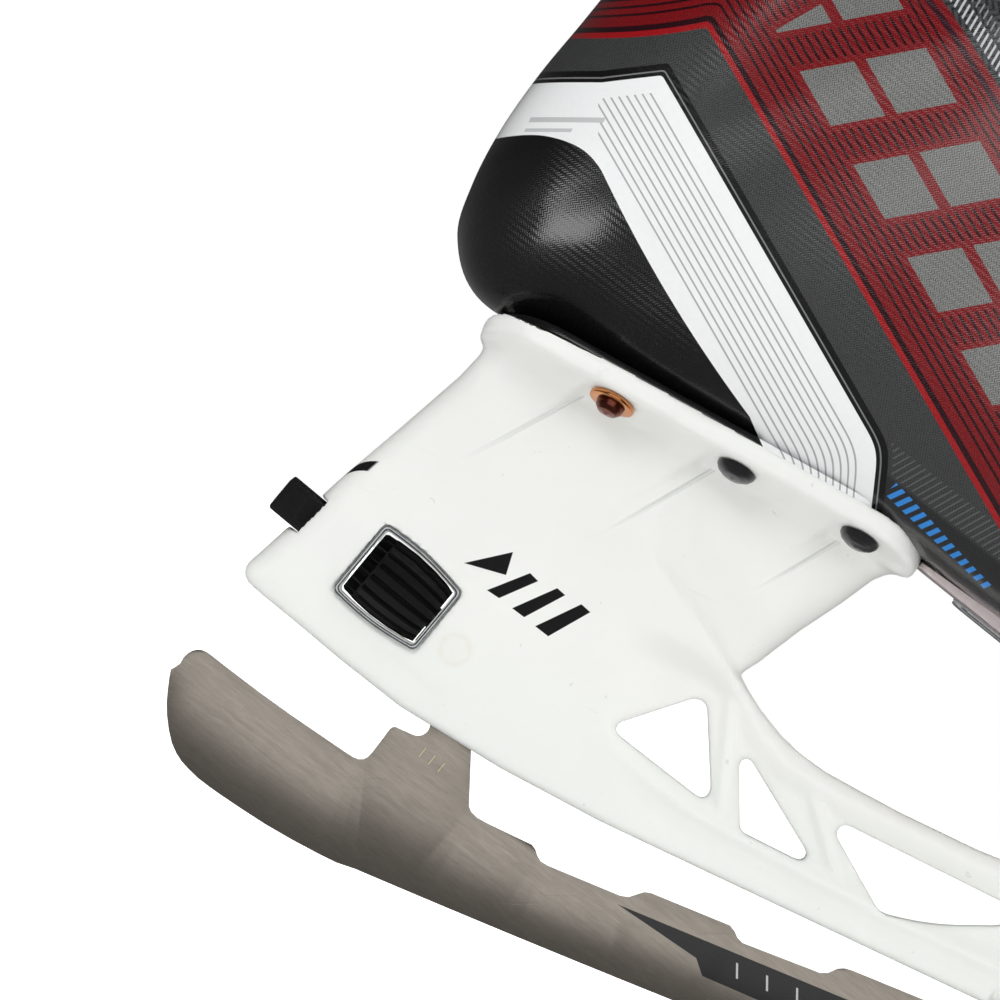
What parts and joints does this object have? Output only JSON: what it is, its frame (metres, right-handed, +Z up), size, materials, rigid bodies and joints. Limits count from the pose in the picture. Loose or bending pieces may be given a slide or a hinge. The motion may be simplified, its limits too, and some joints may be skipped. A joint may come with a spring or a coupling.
{
  "type": "ice hockey skate",
  "caption": "Right ice hockey skate: one-piece boot on a nylon holder whose steel runner drops out when its thumbwheel and lock tab are released.",
  "frame": {"origin": "on the centre plane, on the ice line under the middle of the runner when it is locked up", "axes": "+X toward the toe, +Y toward the skater's left (inner side of this right skate), +Z up"},
  "size_m": [0.2962, 0.1028, 0.3248],
  "materials": {
    "white_nylon": "gloss moulded nylon",
    "black_nylon": "fine textured",
    "bright_trim": "bright plated",
    "runner_steel": "lengthwise brushed",
    "tool_steel": "satin",
    "boot_composite": "gloss composite with printed bands",
    "toe_plastic": "gloss moulded",
    "sole_composite": "satin composite",
    "liner_fabric": "brushed nylon",
    "pad_foam": "padded",
    "felt": "wool felt",
    "facing_leather": "synthetic leather",
    "eyelet_metal": "anodised",
    "lace_cotton": "braided",
    "lace_tip": "clear wrapped",
    "copper_dark": "hammered copper",
    "copper_bright": "turned copper",
    "rivet_black": "black oxide"
  },
  "bodies": {
    "boot": {"holder": "white_nylon", "front_hook_socket": "tool_steel", "window_bezels": "bright_trim", "outsole": "sole_composite", "sole_vent_grille": "black_nylon", "boot_shell": "boot_composite", "toe_cap": "toe_plastic", "liner": "liner_fabric", "collar_padding": "pad_foam", "footbed": "liner_fabric", "eyelet_facings": "facing_leather", "eyelets": "eyelet_metal", "lace": "lace_cotton", "lace_tips": "lace_tip", "tongue_base": "felt", "copper_rivets": "copper_dark", "copper_burrs": "copper_bright", "rear_rivets": "rivet_black", "front_rivets": "rivet_black", "rivet_washers": "tool_steel"},
    "runner": {"runner": "runner_steel"},
    "thumbwheel": {"thumbwheel": "black_nylon"},
    "latch_hook": {"hook_rod": "tool_steel"},
    "lock_slider": {"lock_tab": "black_nylon", "lock_pins": "tool_steel"},
    "tongue_top": {"tongue_flap": "felt", "tongue_guard": "black_nylon"},
    "tendon_flap": {"tendon_guard": "toe_plastic", "tendon_guard_rivets": "tool_steel"}
  },
  "joints": [
    {"name": "runner_swing", "type": "hinge", "parent": "boot", "child": "runner", "pos_m": [0.11, 0, 0.0335], "axis": [0, 1, 0], "range_deg": [0, 4]},
    {"name": "thumbwheel_turn", "type": "hinge", "parent": "boot", "child": "thumbwheel", "pos_m": [-0.1085, 0, 0.0414], "axis": [0.9681, 0, -0.2504], "range_deg": [0, 720]},
    {"name": "hook_slide", "type": "slide", "parent": "boot", "child": "latch_hook", "axis": [0.9681, 0, -0.2504], "range_m": [0, 0.003]},
    {"name": "lock_tab_slide", "type": "slide", "parent": "boot", "child": "lock_slider", "axis": [0.9681, 0, -0.2504], "range_m": [0, 0.0065]},
    {"name": "tongue_flop", "type": "hinge", "parent": "boot", "child": "tongue_top", "pos_m": [-0.0235, 0, 0.2571], "axis": [0, 1, 0], "range_deg": [0, 50]},
    {"name": "tendon_guard_flex", "type": "hinge", "parent": "boot", "child": "tendon_flap", "pos_m": [-0.114, 0, 0.2365], "axis": [0, -1, 0], "range_deg": [0, 22]}
  ],
  "couplings": [
    {"joint": "hook_slide", "follows": "thumbwheel_turn", "m_per_rad": 0.00023873}
  ]
}
